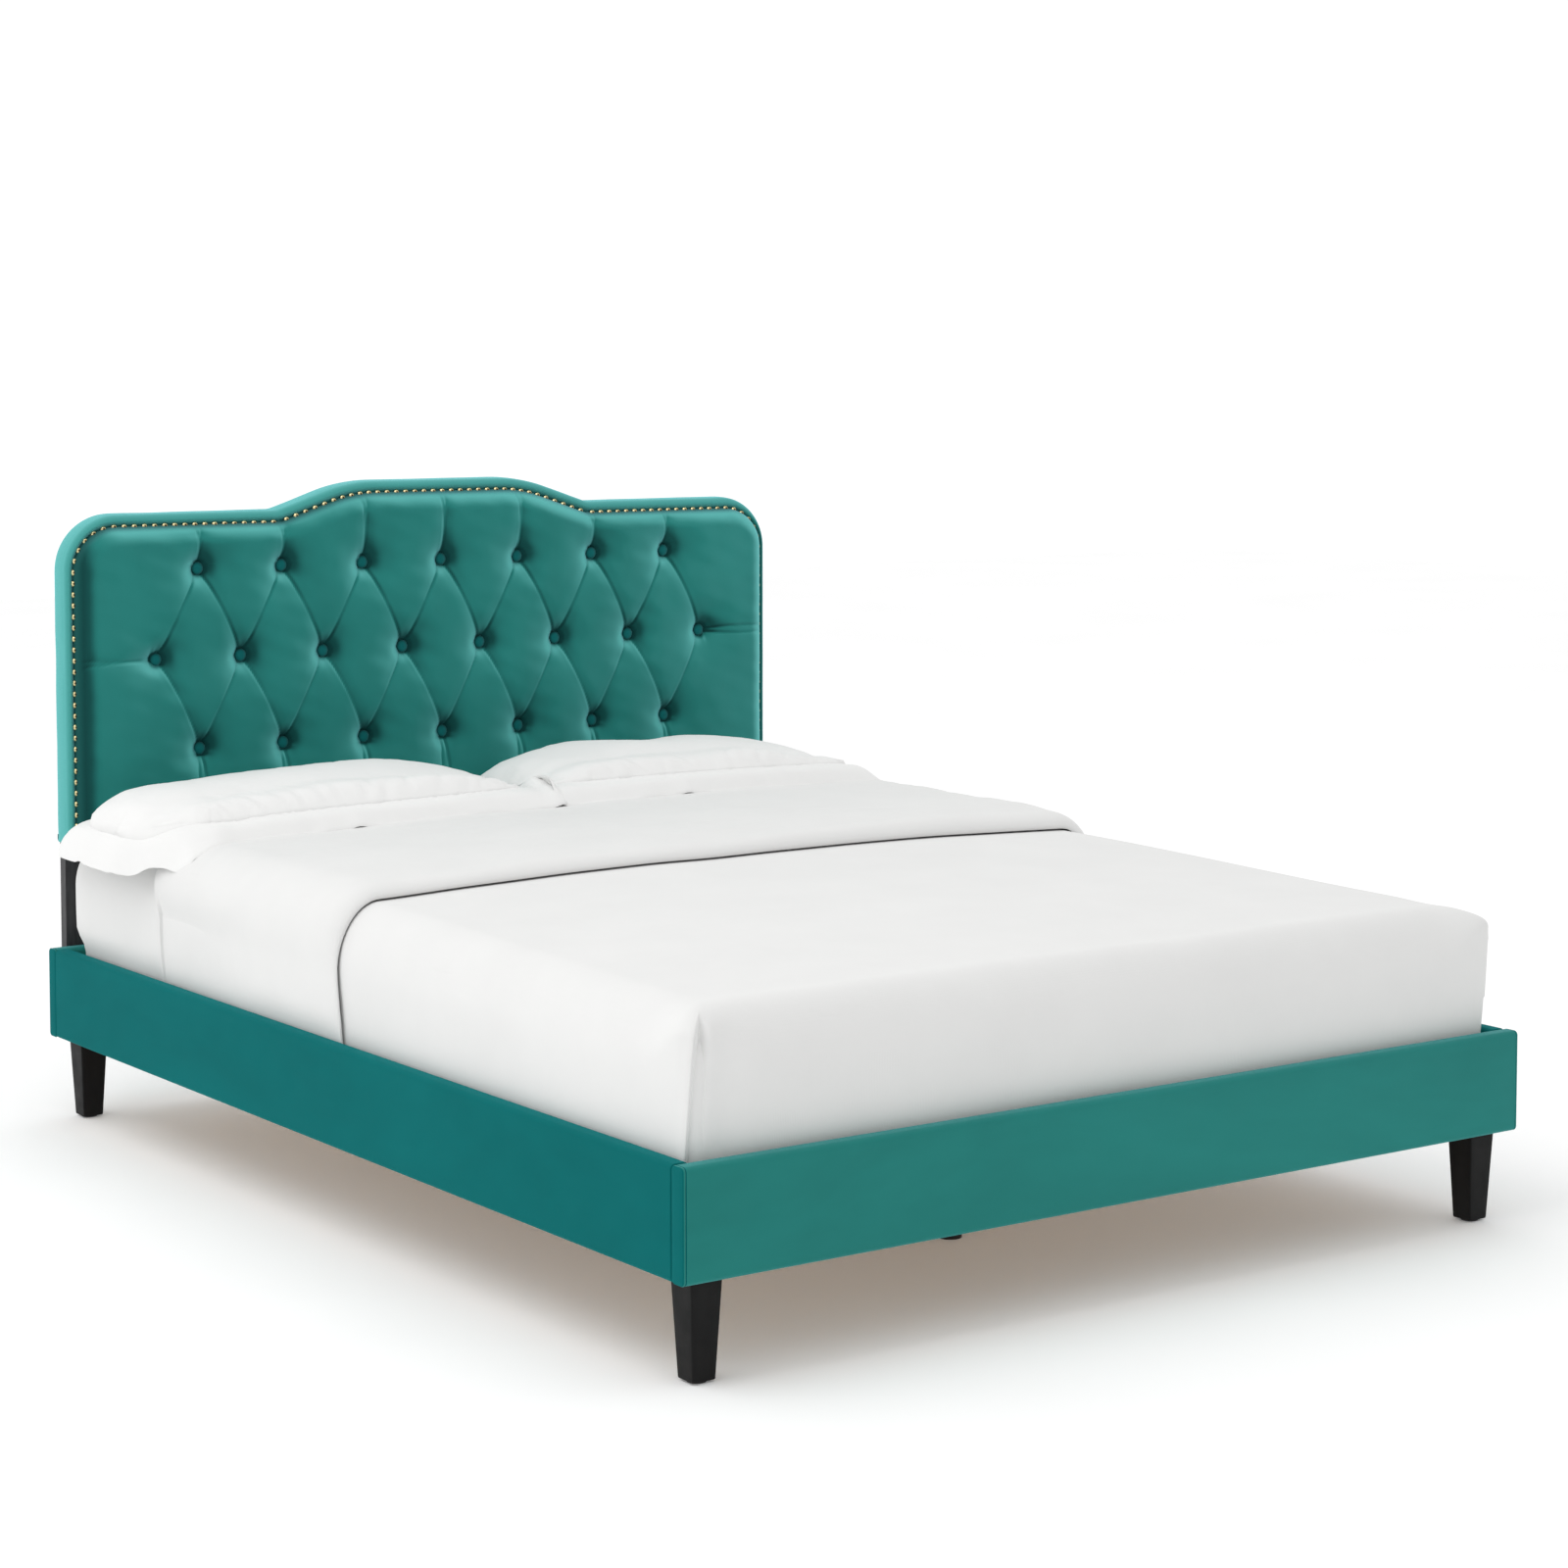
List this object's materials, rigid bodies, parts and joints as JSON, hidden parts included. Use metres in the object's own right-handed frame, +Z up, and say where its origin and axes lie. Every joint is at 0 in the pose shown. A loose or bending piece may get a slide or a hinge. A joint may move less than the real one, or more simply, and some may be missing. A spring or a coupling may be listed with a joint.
{
  "type": "upholstered headboard bed",
  "caption": "Queen platform bed with a button-tufted, nailhead-trimmed headboard, upholstered rails, tapered legs, slats, mattress and white bedding.",
  "frame": {"origin": "on the floor, midway along the bed and across it", "axes": "+X across the bed, +Y from the foot towards the head, +Z up"},
  "size_m": [1.64, 2.155, 1.172],
  "materials": {
    "velvet": "short-pile velvet with a soft sheen",
    "pine": "planed pine, unfinished",
    "plywood": "sanded plywood",
    "black_wood": "satin black paint on solid wood",
    "zinc_steel": "bright zinc plate",
    "insert_brass": "machined",
    "nail_brass": "antique brass domes",
    "black_plastic": "moulded",
    "webbing": "woven polyester tape",
    "foam": "open-cell foam",
    "dust_cloth": "non-woven",
    "twine": "waxed twine",
    "ticking": "knitted mattress ticking",
    "bed_linen": "plain white cotton"
  },
  "bodies": {
    "frame": {"foot_rail_core": "pine", "foot_rail_cover": "velvet", "head_rail_core": "pine", "head_rail_cover": "velvet", "side_rail_left_core": "pine", "side_rail_left_cover": "velvet", "side_rail_right_core": "pine", "side_rail_right_cover": "velvet", "side_ledgers": "pine", "ledger_screws": "zinc_steel", "corner_brackets": "zinc_steel", "corner_blocks": "pine", "corner_bolts": "zinc_steel", "corner_washers": "zinc_steel", "rail_inserts": "insert_brass", "corner_legs": "black_wood", "leg_hanger_bolts": "zinc_steel", "leg_nuts": "zinc_steel", "leg_glides": "black_plastic", "centre_beam": "pine", "beam_hangers": "zinc_steel", "hanger_screws": "zinc_steel", "support_legs": "black_wood", "support_leg_studs": "zinc_steel", "glide_inserts": "insert_brass", "slats": "pine", "slat_screws": "zinc_steel", "slat_webbing": "webbing", "headboard_panel": "plywood", "headboard_top_rail": "pine", "headboard_bottom_rail": "pine", "headboard_battens": "pine", "headboard_foam": "foam", "headboard_cover": "velvet", "headboard_back_cover": "dust_cloth", "headboard_buttons": "velvet", "button_twines": "twine", "button_anchors": "black_plastic", "nailheads": "nail_brass", "post_left": "black_wood", "post_right": "black_wood", "headboard_bolts": "zinc_steel", "headboard_tee_nuts": "zinc_steel", "post_bolts": "zinc_steel", "post_nuts": "zinc_steel"},
    "mattress": {"mattress": "ticking", "fitted_sheet": "bed_linen", "duvet": "bed_linen"},
    "pillow_left": {"pillow_left": "bed_linen"},
    "pillow_right": {"pillow_right": "bed_linen"},
    "glide_foot": {"levelling_glide_foot": "black_plastic"},
    "glide_middle": {"levelling_glide_middle": "black_plastic"},
    "glide_head": {"levelling_glide_head": "black_plastic"}
  },
  "joints": [
    {"name": "mattress_lift", "type": "slide", "parent": "frame", "child": "mattress", "axis": [0, 0, 1], "range_m": [0, 0.35]},
    {"name": "pillow_left_lift", "type": "slide", "parent": "mattress", "child": "pillow_left", "axis": [0, 0, 1], "range_m": [0, 0.3]},
    {"name": "pillow_right_lift", "type": "slide", "parent": "mattress", "child": "pillow_right", "axis": [0, 0, 1], "range_m": [0, 0.3]},
    {"name": "glide_foot_thread", "type": "slide", "parent": "frame", "child": "glide_foot", "axis": [0, 0, 1], "range_m": [-0.006, 0.01]},
    {"name": "glide_middle_thread", "type": "slide", "parent": "frame", "child": "glide_middle", "axis": [0, 0, 1], "range_m": [-0.006, 0.01]},
    {"name": "glide_head_thread", "type": "slide", "parent": "frame", "child": "glide_head", "axis": [0, 0, 1], "range_m": [-0.006, 0.01]}
  ]
}
